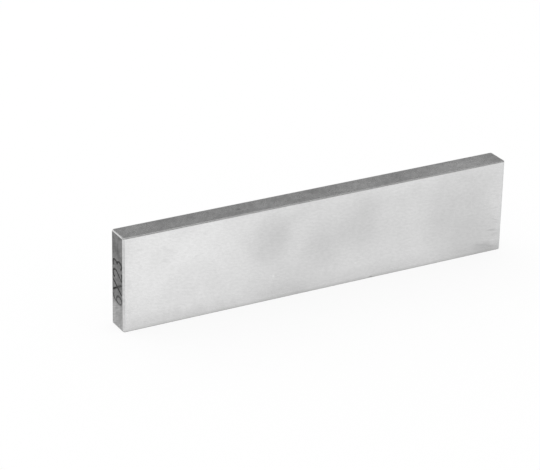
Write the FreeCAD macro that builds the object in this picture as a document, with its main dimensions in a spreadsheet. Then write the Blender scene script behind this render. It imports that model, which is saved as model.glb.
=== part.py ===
"""A precision parallel: one hardened and ground steel bar that lifts work to a known height in a vice.

It is one solid piece. It stands on one narrow face and carries the work on the other, and its two broad faces
lie against the jaws. X runs along its length, Y through its thickness and Z up, all in millimetres.
The origin is the middle of the face that it stands on.
"""

import math
import os

import FreeCAD, Part
import Sketcher

# The thickness and the height name the bar, and are ground to a few microns. The length is nominal.
SIZES = {
    "length": 100.0,
    "thickness": 6.0,
    "height": 23.0,
    # The upright corners at the two ends are dressed first, a little wider, because they are handled most.
    "upright_break": 0.35,
    # Then every edge round the standing face and the seat loses its burr, so that nothing lifts bar or work.
    "edge_break": 0.2,
}

# A sketch numbers its own origin -1, and the ends of a line 1 and 2.
SKETCH_ORIGIN = -1
START = 1
END = 2

doc = FreeCAD.newDocument("PrecisionParallel")


def make_sheet():
    """Writes each size into a cell of its own and names the cell."""
    sheet = doc.addObject("Spreadsheet::Sheet", "Sizes")
    for row, (name, value) in enumerate(SIZES.items(), start=1):
        sheet.set(f"A{row}", name)
        sheet.set(f"B{row}", str(value))
        sheet.setAlias(f"B{row}", name)
    doc.recompute()


def draw_section(body):
    """The section across the bar: a rectangle that stands on the origin, centred through the thickness."""
    section = body.newObject("Sketcher::SketchObject", "Section")
    plane = next(feature for feature in body.Origin.OriginFeatures if feature.Role == "YZ_Plane")
    section.AttachmentSupport = (plane, "")
    section.MapMode = "FlatFace"

    side = SIZES["thickness"] / 2
    foot_left = FreeCAD.Vector(-side, 0, 0)
    foot_right = FreeCAD.Vector(side, 0, 0)
    seat_right = FreeCAD.Vector(side, SIZES["height"], 0)
    seat_left = FreeCAD.Vector(-side, SIZES["height"], 0)
    foot = section.addGeometry(Part.LineSegment(foot_left, foot_right))
    right = section.addGeometry(Part.LineSegment(foot_right, seat_right))
    seat = section.addGeometry(Part.LineSegment(seat_right, seat_left))
    left = section.addGeometry(Part.LineSegment(seat_left, foot_left))

    for line, following in ((foot, right), (right, seat), (seat, left), (left, foot)):
        section.addConstraint(Sketcher.Constraint("Coincident", line, END, following, START))
    for line in (foot, seat):
        section.addConstraint(Sketcher.Constraint("Horizontal", line))
    for line in (right, left):
        section.addConstraint(Sketcher.Constraint("Vertical", line))
    section.addConstraint(Sketcher.Constraint("Symmetric", foot, START, foot, END, SKETCH_ORIGIN, START))

    across = section.addConstraint(Sketcher.Constraint("DistanceX", foot, START, foot, END, 2 * side))
    up = section.addConstraint(Sketcher.Constraint("DistanceY", right, START, right, END, SIZES["height"]))
    section.setExpression(f"Constraints[{across}]", "Sizes.thickness")
    section.setExpression(f"Constraints[{up}]", "Sizes.height")
    return section


def grind_bar(body, section):
    """The bar at its full length, half of it each side of the origin, still with sharp edges."""
    bar = body.newObject("PartDesign::Pad", "Bar")
    bar.Profile = section
    bar.SideType = "Symmetric"
    bar.setExpression("Length", "Sizes.length")
    doc.recompute()
    return bar


def points_up(direction):
    """Whether a direction runs more up or down than it runs sideways."""
    return abs(direction.z) > math.hypot(direction.x, direction.y)


def upright_edges(shape):
    """The names of the edges that run up the bar."""
    return [
        f"Edge{number}"
        for number, edge in enumerate(shape.Edges, start=1)
        if points_up(edge.tangentAt(edge.FirstParameter))
    ]


def level_faces(shape):
    """The names of the two faces that lie level: the one that the bar stands on, and the seat."""
    return [
        f"Face{number}"
        for number, face in enumerate(shape.Faces, start=1)
        if points_up(face.normalAt(0, 0))
    ]


def break_edges(body, base, label, picked, size):
    """Takes the sharp corner off the picked edges, as a flat at 45 degrees."""
    flats = body.newObject("PartDesign::Chamfer", label)
    flats.Base = (base, picked)
    flats.setExpression("Size", f"Sizes.{size}")
    doc.recompute()
    return flats


def make_parallel_bar():
    """The one piece: ground to section, cut to length, then every edge broken."""
    body = doc.addObject("PartDesign::Body", "ParallelBar")
    body.Label = "parallel_bar"
    bar = grind_bar(body, draw_section(body))
    uprights = break_edges(body, bar, "UprightBreaks", upright_edges(bar.Shape), "upright_break")
    body.Tip = break_edges(body, uprights, "EdgeBreaks", level_faces(uprights.Shape), "edge_break")
    body.Placement = FreeCAD.Placement()
    return body


def check_document():
    """Stops if any feature failed, because a recompute alone doesn't say so."""
    for item in doc.Objects:
        failed = {"Invalid", "Error"} & set(item.State)
        if failed:
            raise RuntimeError(f"{item.Label} did not rebuild: {', '.join(sorted(failed))}")


def write_part(body):
    """Stops on an empty or broken solid, and otherwise writes it under its own name."""
    shape = body.Shape
    if shape.isNull() or not shape.isValid() or len(shape.Solids) != 1:
        raise RuntimeError(f"{body.Label} is not one sound solid")
    os.makedirs("parts", exist_ok=True)
    shape.exportStep(os.path.join("parts", f"{body.Label}.step"))
    box = shape.BoundBox
    print(f"{body.Label}: {box.XLength:.3f} x {box.YLength:.3f} x {box.ZLength:.3f} mm")


make_sheet()
parallel_bar = make_parallel_bar()
doc.recompute()
check_document()
write_part(parallel_bar)
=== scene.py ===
import math

import bmesh
import bpy
from mathutils import Matrix, Vector


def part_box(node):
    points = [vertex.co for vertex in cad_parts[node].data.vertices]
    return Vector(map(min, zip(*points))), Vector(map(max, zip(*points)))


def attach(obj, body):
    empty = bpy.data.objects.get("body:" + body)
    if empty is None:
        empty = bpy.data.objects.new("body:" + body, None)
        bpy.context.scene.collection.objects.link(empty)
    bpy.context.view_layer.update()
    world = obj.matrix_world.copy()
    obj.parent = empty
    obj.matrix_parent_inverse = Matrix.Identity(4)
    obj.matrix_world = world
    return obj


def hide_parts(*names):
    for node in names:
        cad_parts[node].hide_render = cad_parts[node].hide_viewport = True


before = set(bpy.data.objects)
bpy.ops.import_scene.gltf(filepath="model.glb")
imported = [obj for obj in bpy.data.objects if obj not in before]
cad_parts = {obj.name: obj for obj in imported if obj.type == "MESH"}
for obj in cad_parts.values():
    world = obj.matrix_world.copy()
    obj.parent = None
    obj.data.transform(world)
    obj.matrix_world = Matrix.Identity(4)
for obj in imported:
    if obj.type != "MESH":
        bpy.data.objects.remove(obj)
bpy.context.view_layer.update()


# The bar
# One length of tool steel, hardened right through, ground on its four long sides and cut square at both ends.
# Its corners are then broken on a stone: the upright ones at the ends first and widest, then those that run
# round the foot and the seat. The stone leaves no ridge, only a small radius where two flats meet.
MM = 0.001
BAR_LOW, BAR_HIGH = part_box("parallel_bar")
BAR_MIDDLE = (BAR_LOW + BAR_HIGH) / 2
BAR_SIZE = BAR_HIGH - BAR_LOW
UPRIGHT_BREAK = 0.35 * MM
EDGE_BREAK = 0.2 * MM
STONED_RADIUS = 0.08 * MM
STONED_STEPS = 3
SHARP = math.radians(10)


def start_piece():
    """Clears the selection, so that the next tool works on its own piece alone."""
    bpy.ops.object.select_all(action="DESELECT")


def take_up(piece):
    """Selects one piece and nothing else."""
    start_piece()
    piece.select_set(True)
    bpy.context.view_layer.objects.active = piece


def settle(piece):
    """Puts a piece's place, turn and size into its mesh."""
    take_up(piece)
    bpy.ops.object.transform_apply(location=True, rotation=True, scale=True)


def runs_up(edge):
    """Whether an edge of the bar runs up it."""
    first, second = (corner.co for corner in edge.verts)
    run = second - first
    return abs(run.z) > math.hypot(run.x, run.y)


def lies_level(edge):
    """Whether an edge lies round the foot or the seat."""
    return not runs_up(edge)


def is_sharp(edge):
    """Whether two flats meet here at an angle."""
    return edge.calc_face_angle(0) > SHARP


def break_edges(piece, wanted, width, steps=1):
    """Takes the corner off the wanted edges: a flat with one step, a small radius with more."""
    bpy.ops.object.mode_set(mode="EDIT")
    bpy.ops.mesh.select_mode(type="EDGE")
    bpy.ops.mesh.select_all(action="DESELECT")
    shape = bmesh.from_edit_mesh(piece.data)
    for edge in shape.edges:
        edge.select_set(wanted(edge))
    bmesh.update_edit_mesh(piece.data)
    bpy.ops.mesh.bevel(offset_type="OFFSET", offset=width, segments=steps, affect="EDGES")
    bpy.ops.object.mode_set(mode="OBJECT")


start_piece()
bpy.ops.mesh.primitive_cube_add(size=1, location=BAR_MIDDLE, scale=BAR_SIZE)
bar = bpy.context.object
bar.name = "ground_bar"
settle(bar)
break_edges(bar, runs_up, UPRIGHT_BREAK)
break_edges(bar, lies_level, EDGE_BREAK)
break_edges(bar, is_sharp, STONED_RADIUS, STONED_STEPS)

# The bar's finishes. Each is bare steel as nodes: a grey, a dullness and a slight relief. Their patterns are
# laid out in millimetres, in the bar's own frame. Soft random values draw all that is uneven in them.
NOISE_LOW = 0.3
NOISE_MIDDLE = 0.5
NOISE_HIGH = 0.7
NOISE_ROUGHNESS = 0.55


def add(tree, kind, inputs, **settings):
    """Adds a node: its settings first, then each input, as a plain value or as another node's output."""
    made = tree.nodes.new("ShaderNode" + kind)
    for name, value in settings.items():
        setattr(made, name, value)
    for name, value in inputs.items():
        if isinstance(value, bpy.types.NodeSocket):
            tree.links.new(value, made.inputs[name])
        else:
            made.inputs[name].default_value = value
    return made


def sum_of(tree, operation, first, second=0.0, third=0.0):
    """Works out one sum on one to three values."""
    return add(tree, "Math", {0: first, 1: second, 2: third}, operation=operation).outputs[0]


def vector_sum(tree, operation, first, second):
    """Works out one sum on two directions or places."""
    return add(tree, "VectorMath", {0: first, 1: second}, operation=operation).outputs[0]


def stretch(tree, value, low, high, to_low, to_high):
    """Moves a value from one range to another with soft ends, and holds it there."""
    inputs = {"Value": value, "From Min": low, "From Max": high, "To Min": to_low, "To Max": to_high}
    return add(tree, "MapRange", inputs, interpolation_type="SMOOTHSTEP").outputs["Result"]


def noise(tree, place, grain):
    """A soft random value, mostly between NOISE_LOW and NOISE_HIGH. The grain is its scale and its detail."""
    inputs = {"Vector": place, "Roughness": NOISE_ROUGHNESS, **grain}
    return add(tree, "TexNoise", inputs).outputs["Fac"]


def spread(tree, value, to_low, to_high):
    """Spreads a soft random value over a range."""
    return stretch(tree, value, NOISE_LOW, NOISE_HIGH, to_low, to_high)


def vary(tree, lightness, value, share):
    """Makes a grey lighter or darker by up to that share, as a soft random value says."""
    return sum_of(tree, "MULTIPLY", lightness, spread(tree, value, 1 - share, 1 + share))


def new_effect(name, inputs, output):
    """Starts an effect that several finishes share: its nodes, its inputs and the socket that it fills."""
    tree = bpy.data.node_groups.new(name, "ShaderNodeTree")
    for label, kind in inputs.items():
        tree.interface.new_socket(label, in_out="INPUT", socket_type="NodeSocket" + kind)
    tree.interface.new_socket(output, in_out="OUTPUT", socket_type="NodeSocketFloat")
    return tree, tree.nodes.new("NodeGroupInput").outputs, tree.nodes.new("NodeGroupOutput").inputs[output]


def place_effect(tree, effect, inputs):
    """Puts a shared effect into a finish, with that finish's own values."""
    return add(tree, "Group", inputs, node_tree=effect).outputs[0]


# The lay: lines that a wheel leaves, long along X and fine across it. Their grain is in lines.
LAY_INPUTS = {"Place": "Vector", "Run": "Float", "Spacing": "Float"}
LAY_GRAIN = {"Scale": 1.0, "Detail": 2.0}
lay, given, result = new_effect("wheel_lay", LAY_INPUTS, "Height")
line_sides = {"X": given["Run"], "Y": given["Spacing"], "Z": given["Spacing"]}
line_size = add(lay, "CombineXYZ", line_sides).outputs["Vector"]
lay.links.new(noise(lay, vector_sum(lay, "DIVIDE", given["Place"], line_size), LAY_GRAIN), result)

# A patch: a soft round or long mark, 1 in its middle and 0 outside, leaning in the plane of a broad face. It
# fades from its core to its rim, which are in half sizes from its centre.
PATCH_INPUTS = {"Place": "Vector", "Centre": "Vector", "Half Size": "Vector", "Lean": "Float"}
PATCH_CORE = 0.15
PATCH_RIM = 1.3
patch, given, result = new_effect("soft_patch", PATCH_INPUTS, "Mask")
from_centre = vector_sum(patch, "SUBTRACT", given["Place"], given["Centre"])
leaning = add(patch, "VectorRotate", {"Vector": from_centre, "Angle": given["Lean"]}, rotation_type="Y_AXIS")
in_half_sizes = vector_sum(patch, "DIVIDE", leaning.outputs[0], given["Half Size"])
distance = add(patch, "VectorMath", {0: in_half_sizes}, operation="LENGTH").outputs["Value"]
patch.links.new(stretch(patch, distance, PATCH_CORE, PATCH_RIM, 1.0, 0.0), result)

# Nearness to an edge of the bar: 1 at the edge and 0 from Reach inwards. The edge lies where the second
# nearest side does, because the nearest side is the face itself.
EDGE_INPUTS = {"Place": "Vector", "Reach": "Float"}
edge_wear, given, result = new_effect("edge_wear", EDGE_INPUTS, "Mask")
from_middle = vector_sum(edge_wear, "SUBTRACT", given["Place"], BAR_MIDDLE / MM)
inside = add(edge_wear, "VectorMath", {0: from_middle}, operation="ABSOLUTE").outputs[0]
inside = vector_sum(edge_wear, "SUBTRACT", BAR_SIZE / (2 * MM), inside)
sides = add(edge_wear, "SeparateXYZ", {"Vector": inside}).outputs
lesser = sum_of(edge_wear, "MINIMUM", sides["X"], sides["Y"])
greater = sum_of(edge_wear, "MAXIMUM", sides["X"], sides["Y"])
second_side = sum_of(edge_wear, "MAXIMUM", lesser, sum_of(edge_wear, "MINIMUM", greater, sides["Z"]))
edge_wear.links.new(stretch(edge_wear, second_side, 0.0, given["Reach"], 1.0, 0.0), result)


def start_finish(name):
    """A new finish: bare steel, and the node that gives the place on the bar in millimetres."""
    material = bpy.data.materials.new(name)
    material.use_nodes = True
    tree = material.node_tree
    steel = tree.nodes["Principled BSDF"]
    steel.inputs["Metallic"].default_value = 1.0
    spot = add(tree, "TexCoord", {}).outputs["Object"]
    place = add(tree, "Mapping", {"Vector": spot, "Scale": (1 / MM, 1 / MM, 1 / MM)}).outputs["Vector"]
    return material, tree, steel, place


def wire_steel(tree, steel, lightness, dullness, height, relief):
    """Gives the steel its grey, its roughness and its relief, whose full height is in millimetres."""
    shade = add(tree, "CombineColor", {"Red": lightness, "Green": lightness, "Blue": lightness})
    tree.links.new(shade.outputs["Color"], steel.inputs["Base Color"])
    tree.links.new(dullness, steel.inputs["Roughness"])
    bump = add(tree, "Bump", {"Height": height, "Distance": relief * MM, "Strength": 1.0})
    tree.links.new(bump.outputs["Normal"], steel.inputs["Normal"])


# The broad faces: ground along the bar, then handled. Each mark is x, z, half length, half height, lean in
# degrees and the share of light that it takes. A share below 0 makes a spot brighter; on the front that is a
# painted reflection. How far the marks stray from their places, and all other lengths here, are in
# millimetres.
BROAD_GREY = 0.7
BROAD_DULLNESS = 0.25
BROAD_DULLNESS_SWING = 0.02
BROAD_LAY = {"Run": 7.0, "Spacing": 0.13}
BROAD_LAY_SHARE = 0.01
BROAD_FLECKS = {"Run": 1.1, "Spacing": 0.5}
BROAD_FLECK_SHARE = 0.03
BROAD_FLECK_SLANT = math.radians(-14)
BROAD_HAZE = {"Scale": 0.12, "Detail": 2.0}
BROAD_HAZE_SHARE = 0.02
BROAD_WORN_WIDTH = 1.2
WORN_DULLER = 0.05
GROUND_RELIEF = 0.0016
DRIFT_GRAIN = {"Scale": 0.35, "Detail": 3.0}
CLOUD_STRAY = 3.0
SMALL_MARK_STRAY = 0.5
# Painted light among these rows: the first, a brighter left part, and the sixth, a brighter band under the
# seat, are painted reflection; the seventh to tenth, along the foot and at the lower right end, are painted
# shade. The others are the face's uneven tone.
FRONT_CLOUDS_AND_PAINTED_LIGHT = (
    (-38.0, 17.0, 26.0, 19.0, 10, -0.18),
    (-13.6, 15.2, 6.5, 6.5, 0, 0.12),
    (2.0, 11.6, 7.0, 6.5, 0, 0.07),
    (11.5, 15.6, 7.0, 7.5, 0, 0.09),
    (37.0, 13.0, 11.0, 10.5, 0, 0.11),
    (10.0, 23.0, 50.0, 2.6, 0, -0.04),
    (5.0, 0.0, 75.0, 4.0, 0, 0.09),
    (-36.0, 0.8, 16.0, 3.2, 0, 0.06),
    (45.0, 2.0, 13.0, 9.0, 0, 0.1),
    (46.3, 1.2, 4.4, 1.8, 8, 0.12),
)
# The first row, a thin dark line along the foot, is painted shade; the others are scuffs.
FRONT_SCUFFS_AND_FOOT_SHADE = (
    (0.0, 0.2, 80.0, 0.7, 0, 0.13),
    (-46.0, 19.6, 1.1, 0.5, 0, 0.05),
    (-38.8, 17.9, 2.2, 0.5, 34, 0.06),
    (-39.7, 15.7, 1.2, 0.5, 10, 0.05),
    (-31.9, 14.9, 1.0, 0.4, -12, 0.05),
    (-29.8, 20.2, 0.6, 0.3, 25, 0.07),
    (-45.8, 15.2, 0.4, 1.0, 20, 0.05),
    (-48.7, 11.6, 0.8, 1.8, 0, 0.06),
    (-48.6, 5.2, 1.0, 1.0, 0, 0.05),
    (-12.1, 6.1, 0.35, 0.7, 0, -0.09),
    (9.6, 4.8, 0.4, 0.3, 0, -0.06),
    (-25.4, 14.4, 0.3, 0.6, 0, 0.04),
    (48.4, 14.3, 0.7, 1.0, 0, 0.05),
    (48.0, 11.3, 1.0, 0.3, 0, 0.05),
    (47.9, 8.3, 1.3, 0.22, 22, 0.11),
    (48.3, 7.6, 0.9, 0.18, 14, 0.08),
    (47.5, 5.6, 1.9, 0.32, 9, 0.13),
    (48.0, 4.4, 1.8, 0.6, 5, 0.06),
    (47.8, 3.0, 1.9, 0.2, 0, -0.05),
    (44.3, 2.3, 1.9, 0.3, 12, 0.07),
    (47.4, 1.4, 2.2, 0.3, 14, 0.08),
)
# The last row, a darker band along the foot, is painted shade; the others are uneven tone.
BACK_CLOUDS_AND_FOOT_SHADE = (
    (-30.0, 8.0, 14.0, 8.0, -8, 0.07),
    (-6.0, 17.0, 9.0, 7.0, 0, -0.05),
    (14.0, 12.0, 8.0, 7.5, 0, 0.08),
    (36.0, 15.0, 10.0, 8.0, 0, 0.06),
    (0.0, 0.0, 75.0, 3.5, 0, 0.06),
)
BACK_SCUFFS = (
    (-44.6, 4.6, 2.0, 0.3, -14, 0.09),
    (-45.2, 3.4, 1.5, 0.22, -10, 0.08),
    (-21.5, 17.4, 2.4, 0.3, 20, 0.05),
    (4.6, 6.8, 0.6, 0.4, 0, 0.07),
    (29.5, 9.4, 3.2, 0.22, -6, 0.06),
    (47.8, 16.2, 0.8, 1.2, 0, 0.05),
)
AT_ANY_DEPTH = 1000.0


def strayed_place(tree, place, reach):
    """The place on the bar, moved a little to and fro, so that what it draws is uneven."""
    drift = add(tree, "TexNoise", {"Vector": place, **DRIFT_GRAIN}).outputs["Color"]
    drift = vector_sum(tree, "SUBTRACT", drift, (NOISE_MIDDLE, NOISE_MIDDLE, NOISE_MIDDLE))
    drift = add(tree, "VectorMath", {0: drift, "Scale": reach}, operation="SCALE").outputs[0]
    return vector_sum(tree, "ADD", place, drift)


def add_marks(tree, place, marks, marks_and_painted_light):
    """Adds the marks of a broad face, some of them painted light and shade, to the share of light that is
    already taken.
    """
    for x, z, half_length, half_height, lean, share in marks:
        mask = place_effect(tree, patch, {
            "Place": place,
            "Centre": (x, 0.0, z),
            "Half Size": (half_length, AT_ANY_DEPTH, half_height),
            "Lean": math.radians(-lean),
        })
        marks_and_painted_light = sum_of(tree, "MULTIPLY_ADD", mask, share, marks_and_painted_light)
    return marks_and_painted_light


def broad_finish(name, cloud_marks, small_marks):
    """The finish of a broad face, with the marks that it has picked up and its painted light and shade."""
    material, tree, steel, place = start_finish(name)
    marks_and_painted_light = add_marks(tree, strayed_place(tree, place, CLOUD_STRAY), cloud_marks, 0.0)
    marks_and_painted_light = add_marks(tree, strayed_place(tree, place, SMALL_MARK_STRAY), small_marks, marks_and_painted_light)

    slant = add(tree, "Mapping", {"Vector": place, "Rotation": (0, BROAD_FLECK_SLANT, 0)}).outputs["Vector"]
    flecks = place_effect(tree, lay, {"Place": slant, **BROAD_FLECKS})
    fine_lay = place_effect(tree, lay, {"Place": place, **BROAD_LAY})
    haze = noise(tree, place, BROAD_HAZE)
    worn = place_effect(tree, edge_wear, {"Place": place, "Reach": BROAD_WORN_WIDTH})

    # The marks' share darkens or brightens the grey: partly real marks, partly painted reflection and painted
    # shade.
    lightness = sum_of(tree, "MULTIPLY", sum_of(tree, "SUBTRACT", 1.0, marks_and_painted_light), BROAD_GREY)
    lightness = vary(tree, lightness, flecks, BROAD_FLECK_SHARE)
    lightness = vary(tree, lightness, fine_lay, BROAD_LAY_SHARE)
    lightness = vary(tree, lightness, haze, BROAD_HAZE_SHARE)
    dullest = BROAD_DULLNESS + BROAD_DULLNESS_SWING
    glossiest = BROAD_DULLNESS - BROAD_DULLNESS_SWING
    dullness = spread(tree, haze, dullest, glossiest)
    dullness = sum_of(tree, "MULTIPLY_ADD", worn, WORN_DULLER, dullness)
    height = sum_of(tree, "ADD", fine_lay, flecks)
    wire_steel(tree, steel, lightness, dullness, height, GROUND_RELIEF)
    return material


# The narrow faces: the last to be ground, on a slant across the bar, so their lines end at both edges. They
# are stained and specked. Each mark on the seat is x, y, half length, half width and the share of light that
# it takes.
NARROW_GREY = 0.71
NARROW_DULLNESS = 0.27
NARROW_DULLNESS_SWING = 0.03
NARROW_SLANT = math.radians(-54)
NARROW_LAY = {"Run": 2.6, "Spacing": 0.16}
NARROW_LAY_SHARE = 0.012
NARROW_FLECKS = {"Run": 2.2, "Spacing": 1.0}
NARROW_FLECK_SHARE = 0.085
NARROW_STAINS = {"Scale": 0.22, "Detail": 4.0}
NARROW_STAIN_SHARE = 0.11
NARROW_WORN_WIDTH = 0.7
SPECKS = {"Scale": 0.9, "Detail": 1.0}
SPECK_CORE = 0.25
SPECK_RIM = 0.31
SPECK_DARK = 0.72
SEAT_MARK_STRAY = 1.0
SEAT_MARKS = (
    (-45.0, 0.2, 5.0, 3.0, -0.09),
    (-38.0, 1.8, 3.0, 1.0, 0.09),
    (-32.0, 1.2, 1.6, 1.2, 0.08),
    (-19.8, -0.1, 0.8, 0.6, 0.36),
    (-20.5, -1.8, 3.0, 1.2, 0.09),
    (-13.0, -1.0, 3.5, 2.2, -0.12),
    (0.5, 1.0, 2.0, 2.0, 0.08),
    (12.0, -0.8, 6.0, 3.0, -0.13),
    (22.0, -0.4, 2.0, 3.0, 0.06),
    # A painted reflection: this row brightens the seat's right end.
    (37.0, -0.8, 12.0, 4.0, -0.22),
)


def take_light(tree, place, centre, half_size, share, lightness):
    """Takes that share of the light at one mark, and none outside it."""
    mask = place_effect(tree, patch, {"Place": place, "Centre": centre, "Half Size": half_size})
    left_over = sum_of(tree, "MULTIPLY_ADD", mask, -share, 1.0)
    return sum_of(tree, "MULTIPLY", lightness, left_over)


def narrow_finish():
    """The finish of the foot and the seat."""
    material, tree, steel, place = start_finish("ground_narrow_face")
    across = add(tree, "Mapping", {"Vector": place, "Rotation": (0, 0, NARROW_SLANT)}).outputs["Vector"]
    fine_lay = place_effect(tree, lay, {"Place": across, **NARROW_LAY})
    flecks = place_effect(tree, lay, {"Place": across, **NARROW_FLECKS})
    stains = noise(tree, place, NARROW_STAINS)
    specks = noise(tree, place, SPECKS)
    worn = place_effect(tree, edge_wear, {"Place": place, "Reach": NARROW_WORN_WIDTH})
    strayed = strayed_place(tree, place, SEAT_MARK_STRAY)

    lightness = vary(tree, NARROW_GREY, stains, NARROW_STAIN_SHARE)
    lightness = vary(tree, lightness, fine_lay, NARROW_LAY_SHARE)
    lightness = vary(tree, lightness, flecks, NARROW_FLECK_SHARE)
    left_by_specks = stretch(tree, specks, SPECK_CORE, SPECK_RIM, SPECK_DARK, 1.0)
    lightness = sum_of(tree, "MULTIPLY", lightness, left_by_specks)
    for x, y, half_length, half_width, share in SEAT_MARKS:
        half_size = (half_length, half_width, AT_ANY_DEPTH)
        lightness = take_light(tree, strayed, (x, y, 0.0), half_size, share, lightness)
    dullest = NARROW_DULLNESS + NARROW_DULLNESS_SWING
    glossiest = NARROW_DULLNESS - NARROW_DULLNESS_SWING
    dullness = spread(tree, stains, dullest, glossiest)
    dullness = sum_of(tree, "MULTIPLY_ADD", worn, WORN_DULLER, dullness)
    height = sum_of(tree, "ADD", fine_lay, flecks)
    wire_steel(tree, steel, lightness, dullness, height, GROUND_RELIEF)
    return material


# The ends: parted with a coarse wheel and left dull. Their grey is set darker than the ground faces', partly
# as painted shade. The marked one is darker still from the mark up, which is painted shade, and its lower
# border wanders. Each scratch above the mark is y, z, half width, half height and the share of light that it
# takes.
# Darker than the ground faces' grey, partly as painted shade.
SHADED_END_GREY = 0.36
END_DULLNESS = 0.42
END_DULLNESS_SWING = 0.06
END_RELIEF = 0.004
END_SLANT = math.radians(26)
QUARTER_TURN = math.pi / 2
END_LAY = {"Run": 3.2, "Spacing": 0.19}
END_LAY_SHARE = 0.18
END_FLECKS = {"Run": 0.9, "Spacing": 0.5}
END_FLECK_SHARE = 0.08
BLOTCHES = {"Scale": 0.4, "Detail": 3.0}
BLOTCH_SHARE = 0.15
PAINTED_SHADE_FROM = 4.5
PAINTED_SHADE_TO = 8.5
PAINTED_SHADE_WANDER = 4.0
PAINTED_SHADE_SHARE = 0.55
END_SCRATCHES = (
    (-0.3, 19.4, 0.24, 1.5, 0.5),
    (2.0, 18.6, 0.3, 1.2, 0.2),
    (1.8, 17.9, 0.5, 0.5, 0.3),
)


def height_on_bar(tree, place):
    """How far up the bar a place is, from its foot."""
    return add(tree, "SeparateXYZ", {"Vector": place}).outputs["Z"]


def end_finish(name, painted_shade_share, scratches):
    """The finish of an end. The painted shade share is how much of its light the painted shade above the mark
    takes.
    """
    material, tree, steel, place = start_finish(name)
    turned = {"Vector": place, "Rotation": (END_SLANT, 0, QUARTER_TURN)}
    coarse = add(tree, "Mapping", turned).outputs["Vector"]
    coarse_lay = place_effect(tree, lay, {"Place": coarse, **END_LAY})
    flecks = place_effect(tree, lay, {"Place": coarse, **END_FLECKS})
    blotches = noise(tree, place, BLOTCHES)
    wandering_height = sum_of(tree, "SUBTRACT", height_on_bar(tree, place), PAINTED_SHADE_WANDER * NOISE_MIDDLE)
    wandering_height = sum_of(tree, "MULTIPLY_ADD", blotches, PAINTED_SHADE_WANDER, wandering_height)

    # Painted shade: the grey drops from the mark up, with a wandering border.
    painted_shade_grey = SHADED_END_GREY * (1 - painted_shade_share)
    lightness = stretch(tree, wandering_height, PAINTED_SHADE_FROM, PAINTED_SHADE_TO, SHADED_END_GREY, painted_shade_grey)
    lightness = vary(tree, lightness, blotches, BLOTCH_SHARE)
    lightness = vary(tree, lightness, coarse_lay, END_LAY_SHARE)
    lightness = vary(tree, lightness, flecks, END_FLECK_SHARE)
    for y, z, half_width, half_height, share in scratches:
        half_size = (AT_ANY_DEPTH, half_width, half_height)
        lightness = take_light(tree, place, (0.0, y, z), half_size, share, lightness)
    dullest = END_DULLNESS + END_DULLNESS_SWING
    glossiest = END_DULLNESS - END_DULLNESS_SWING
    dullness = spread(tree, blotches, dullest, glossiest)
    wire_steel(tree, steel, lightness, dullness, coarse_lay, END_RELIEF)
    return material


# The broken edges: rubbed on a stone by hand, so they are finely scratched and a little uneven. The lower
# ones are darker towards the foot: painted shade.
EDGE_GREY = 0.66
EDGE_DULLNESS = 0.45
EDGE_DULLNESS_SWING = 0.05
EDGE_RELIEF = 0.006
RUBS = {"Scale": 1.1, "Detail": 4.0}
RUB_SHARE = 0.07
FOOT_SHADE_TOP = 0.5
FOOT_SHADE_DARK = 0.52


def edge_finish():
    """The finish of a broken edge."""
    material, tree, steel, place = start_finish("stoned_edge")
    rubs = noise(tree, place, RUBS)
    lightness = vary(tree, EDGE_GREY, rubs, RUB_SHARE)
    # Painted shade: the edges grow darker towards the foot.
    left_by_foot_shade = stretch(tree, height_on_bar(tree, place), 0.0, FOOT_SHADE_TOP, FOOT_SHADE_DARK, 1.0)
    lightness = sum_of(tree, "MULTIPLY", lightness, left_by_foot_shade)
    dullest = EDGE_DULLNESS + EDGE_DULLNESS_SWING
    glossiest = EDGE_DULLNESS - EDGE_DULLNESS_SWING
    wire_steel(tree, steel, lightness, spread(tree, rubs, dullest, glossiest), rubs, EDGE_RELIEF)
    return material


front_finish = broad_finish("ground_front_face", FRONT_CLOUDS_AND_PAINTED_LIGHT, FRONT_SCUFFS_AND_FOOT_SHADE)
back_finish = broad_finish("ground_back_face", BACK_CLOUDS_AND_FOOT_SHADE, BACK_SCUFFS)
seat_finish = narrow_finish()
marked_end_finish = end_finish("cut_end_marked", PAINTED_SHADE_SHARE, END_SCRATCHES)
plain_end_finish = end_finish("cut_end_plain", 0.0, ())
stoned_finish = edge_finish()
for finish in (stoned_finish, front_finish, back_finish, seat_finish, marked_end_finish, plain_end_finish):
    bar.data.materials.append(finish)

STONED, FRONT, BACK, SEAT, MARKED_END, PLAIN_END = range(6)
SQUARE_ON = 0.999
for face in bar.data.polygons:
    face.material_index = STONED
    if face.normal.y < -SQUARE_ON:
        face.material_index = FRONT
    elif face.normal.y > SQUARE_ON:
        face.material_index = BACK
    elif abs(face.normal.z) > SQUARE_ON:
        face.material_index = SEAT
    elif face.normal.x < -SQUARE_ON:
        face.material_index = MARKED_END
    elif face.normal.x > SQUARE_ON:
        face.material_index = PLAIN_END

# A nick in the lower front edge, where the bar was once knocked against something hard. Dirt has set in it.
# It is cut with a dented ball, which starts 1 across, so that its scale is its size.
NICK_PLACE = Vector((13.9 * MM, BAR_LOW.y, BAR_LOW.z))
NICK_SIZE = Vector((1.3, 0.6, 1.1)) * MM
NICK_LEAN = math.radians(24)
NICK_TORN = 0.07 * MM
NICK_SEED = 4
NICK_SUBDIVISIONS = 2
NICK_DENTS = {"Scale": 4.0, "Detail": 3.0}
NICK_GREYS = (0.3, 0.48)
NICK_DULLNESSES = (0.6, 0.45)
NICK_RELIEF = 0.02


def cut_away(piece, cutter):
    """Cuts one shape out of the piece. The cut keeps the cutter's own finish."""
    take_up(piece)
    cut = piece.modifiers.new("cut", "BOOLEAN")
    cut.operation = "DIFFERENCE"
    cut.solver = "EXACT"
    cut.material_mode = "TRANSFER"
    cut.object = cutter
    bpy.ops.object.modifier_apply(modifier="cut")
    bpy.data.objects.remove(cutter)


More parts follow.
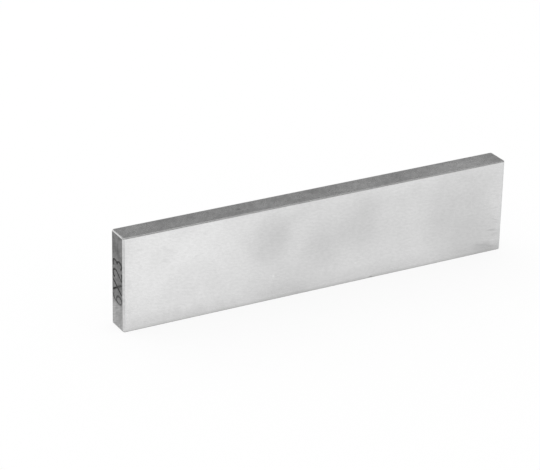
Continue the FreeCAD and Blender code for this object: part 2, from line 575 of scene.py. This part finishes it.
nick_finish, tree, steel, place = start_finish("nick_in_edge")
dents = noise(tree, place, NICK_DENTS)
nick_shade = spread(tree, dents, *NICK_GREYS)
nick_dullness = spread(tree, dents, *NICK_DULLNESSES)
wire_steel(tree, steel, nick_shade, nick_dullness, dents, NICK_RELIEF)
start_piece()
bpy.ops.mesh.primitive_ico_sphere_add(
    subdivisions=NICK_SUBDIVISIONS,
    radius=0.5,
    location=NICK_PLACE,
    rotation=(0, NICK_LEAN, 0),
    scale=NICK_SIZE,
)
nick = bpy.context.object
nick.data.materials.append(nick_finish)
settle(nick)
bpy.ops.object.mode_set(mode="EDIT")
bpy.ops.mesh.select_all(action="SELECT")
bpy.ops.transform.vertex_random(offset=NICK_TORN, seed=NICK_SEED)
bpy.ops.object.mode_set(mode="OBJECT")
cut_away(bar, nick)

# The size mark: the bar's own thickness and height in millimetres, in plain numerals, cut into the left end
# face by a round-nosed marking tool and blackened. It reads upwards, and the numerals' tops are at the back.
# The black has worn thin towards the foot, between two heights in millimetres.
MARK_START = 6.2 * MM
MARK_GAP = 0.8 * MM
MARK_FOOT_Y = -2.2 * MM
MARK_HEIGHT = 4.4 * MM
MARK_WIDTHS = {"6": 1.8 * MM, "X": 2.5 * MM, "2": 1.9 * MM, "3": 1.7 * MM}
TOOL_RADIUS = 0.3 * MM
TOOL_ROUNDING = 2
MARK_DEPTH = 0.14 * MM
MARK_GREYS = (0.012, 0.05)
MARK_DULLNESSES = (0.65, 0.5)
MARK_METALLIC = 0.4
MARK_PITS = {"Scale": 5.0, "Detail": 4.0}
MARK_RELIEF = 0.02
WORN_FROM = 9.5
WORN_TO = 5.5
WORN_PALER = 4.0
ARC_STEPS = 16
POINT_WEIGHT = 1.0
WELD = 0.001 * MM


def arc(across, up, half_width, half_height, start, stop):
    """Points along an oval between two angles in degrees, in shares of a numeral's width and height."""
    angles = [math.radians(start + (stop - start) * step / ARC_STEPS) for step in range(ARC_STEPS + 1)]
    return [(across + half_width * math.cos(angle), up + half_height * math.sin(angle)) for angle in angles]


LOOP = (0.5, 0.3, 0.5, 0.3)
STROKES = {
    "6": (arc(*LOOP, 80, 280), arc(*LOOP, 260, 460), arc(0.95, 0.3, 0.95, 0.7, 180, 95)),
    "X": (((0.0, 0.0), (1.0, 1.0)), ((0.0, 1.0), (1.0, 0.0))),
    "2": (arc(0.5, 0.72, 0.5, 0.28, 165, -30) + [(0.0, 0.0), (1.0, 0.0)],),
    "3": (arc(0.45, 0.76, 0.45, 0.24, 150, -90), arc(0.5, 0.26, 0.5, 0.26, 90, -150)),
}

blackened_finish, tree, steel, place = start_finish("blackened_numerals")
steel.inputs["Metallic"].default_value = MARK_METALLIC
pits = noise(tree, place, MARK_PITS)
left_by_wear = stretch(tree, height_on_bar(tree, place), WORN_TO, WORN_FROM, WORN_PALER, 1.0)
mark_shade = sum_of(tree, "MULTIPLY", spread(tree, pits, *MARK_GREYS), left_by_wear)
mark_dullness = spread(tree, pits, *MARK_DULLNESSES)
wire_steel(tree, steel, mark_shade, mark_dullness, pits, MARK_RELIEF)


def cut_stroke(points, start_z, width):
    """Draws the tool's nose along one stroke of a numeral and cuts that groove into the end."""
    outline = bpy.data.curves.new("stroke", "CURVE")
    outline.dimensions = "3D"
    outline.bevel_depth = TOOL_RADIUS
    outline.bevel_resolution = TOOL_ROUNDING
    outline.use_fill_caps = True
    line = outline.splines.new("POLY")
    line.points.add(len(points) - 1)
    for corner, (across, up) in zip(line.points, points):
        corner.co = (
            BAR_LOW.x - TOOL_RADIUS + MARK_DEPTH,
            MARK_FOOT_Y + up * MARK_HEIGHT,
            start_z + across * width,
            POINT_WEIGHT,
        )
    stroke = bpy.data.objects.new("stroke", outline)
    bpy.context.scene.collection.objects.link(stroke)
    take_up(stroke)
    bpy.ops.object.convert(target="MESH")
    stroke = bpy.context.object
    bpy.ops.object.mode_set(mode="EDIT")
    bpy.ops.mesh.select_all(action="SELECT")
    bpy.ops.mesh.remove_doubles(threshold=WELD)
    bpy.ops.mesh.normals_make_consistent(inside=False)
    bpy.ops.object.mode_set(mode="OBJECT")
    stroke.data.materials.clear()
    stroke.data.materials.append(blackened_finish)
    cut_away(bar, stroke)


size_words = "X".join(f"{side / MM:.0f}" for side in (BAR_SIZE.y, BAR_SIZE.z))
numeral_start = MARK_START
for character in size_words:
    width = MARK_WIDTHS[character]
    for points in STROKES[character]:
        cut_stroke(points, numeral_start, width)
    numeral_start += width + MARK_GAP

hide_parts("parallel_bar")
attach(bar, "root")


# The floor
# A wide sheet of matt white paper that the bar stands on. Seen straight or mirrored in the steel, it also
# glows, so that it stays white with only a soft shade at the bar's foot.
FLOOR_SIDE = 8.0
PAPER_WHITE = (0.94, 0.94, 0.94, 1)
PAPER_GLOW = 0.87
WHITE = (1, 1, 1, 1)
start_piece()
bpy.ops.mesh.primitive_plane_add(size=FLOOR_SIDE, location=(0, 0, BAR_LOW.z))
floor = bpy.context.object
floor.name = "floor"
paper = bpy.data.materials.new("paper")
paper.use_nodes = True
tree = paper.node_tree
tree.nodes.remove(tree.nodes["Principled BSDF"])
matt = add(tree, "BsdfDiffuse", {"Color": PAPER_WHITE})
glow = add(tree, "Emission", {"Color": WHITE, "Strength": 1.0})
path = add(tree, "LightPath", {}).outputs
looked_at = sum_of(tree, "ADD", path["Is Camera Ray"], path["Is Glossy Ray"])
looked_at = sum_of(tree, "ADD", looked_at, path["Is Transmission Ray"])
glow_share = sum_of(tree, "MULTIPLY", looked_at, PAPER_GLOW)
mixed = add(tree, "MixShader", {0: glow_share, 1: matt.outputs[0], 2: glow.outputs[0]})
tree.links.new(mixed.outputs[0], tree.nodes["Material Output"].inputs["Surface"])
floor.data.materials.append(paper)


# The light
# Even white light on the paper. The steel mirrors a studio: a white sweep up to the horizon, a dim room above
# it and a wide light overhead. Each band is degrees above the horizon and a brightness. Along the ramp, 0 is
# straight down and 1 is straight up.
SKY_BANDS = ((-90, 1.0), (6, 1.0), (17, 0.27), (47, 0.27), (68, 1.0), (90, 1.0))
world = bpy.data.worlds.new("studio")
world.use_nodes = True
bpy.context.scene.world = world
tree = world.node_tree
direction = add(tree, "TexCoord", {}).outputs["Generated"]
rise = add(tree, "SeparateXYZ", {"Vector": direction}).outputs["Z"]
ramp = add(tree, "ValToRGB", {0: sum_of(tree, "MULTIPLY_ADD", rise, 0.5, 0.5)})
bands = ramp.color_ramp
bands.interpolation = "EASE"
while len(bands.elements) < len(SKY_BANDS):
    bands.elements.new(1.0)
for element, (degrees, level) in zip(bands.elements, SKY_BANDS):
    element.position = (math.sin(math.radians(degrees)) + 1) / 2
    element.color = (level, level, level, 1)
lit_paper = add(tree, "LightPath", {}).outputs["Is Diffuse Ray"]
studio = add(tree, "MixRGB", {0: lit_paper, 1: ramp.outputs["Color"], 2: WHITE}).outputs[0]
tree.links.new(studio, tree.nodes["Background"].inputs["Color"])

# A wide, dim softbox behind the marked end, which shows as a bright line in that end's top edge. It is wide
# and dim so that the seat, wherever it mirrors it, does not turn as white as the paper.
SOFTBOX_PLACE = Vector((-0.44, 0.74, 0.44))
SOFTBOX_SIDE = 0.95
SOFTBOX_WATTS = 1.8
softbox_light = bpy.data.lights.new("softbox", "AREA")
softbox_light.shape = "SQUARE"
softbox_light.size = SOFTBOX_SIDE
softbox_light.energy = SOFTBOX_WATTS
softbox = bpy.data.objects.new("softbox", softbox_light)
bpy.context.scene.collection.objects.link(softbox)
softbox.location = SOFTBOX_PLACE
softbox.rotation_euler = (BAR_MIDDLE - SOFTBOX_PLACE).to_track_quat("-Z", "Y").to_euler()


# The camera
# A long lens, above the bar and to its left, looking down on the front face and the marked end.
SENSOR = 36.0
LENS = 162.8
BEARING = math.radians(29.15)
DIP = math.radians(24.49)
TURN = math.radians(1.16)
DISTANCE = 562.3 * MM
AIM = Vector((-8.68, 5.22, 12.24)) * MM
camera_data = bpy.data.cameras.new("camera")
camera_data.lens = LENS
camera_data.sensor_width = SENSOR
camera = bpy.data.objects.new("camera", camera_data)
bpy.context.scene.collection.objects.link(camera)
look = Matrix.Rotation(-BEARING, 4, "Z") @ Matrix.Rotation(QUARTER_TURN - DIP, 4, "X")
look = look @ Matrix.Rotation(TURN, 4, "Z")
camera.matrix_world = Matrix.Translation(AIM + look.to_3x3() @ Vector((0, 0, DISTANCE))) @ look
bpy.context.scene.camera = camera
bpy.context.scene.view_settings.view_transform = "Standard"
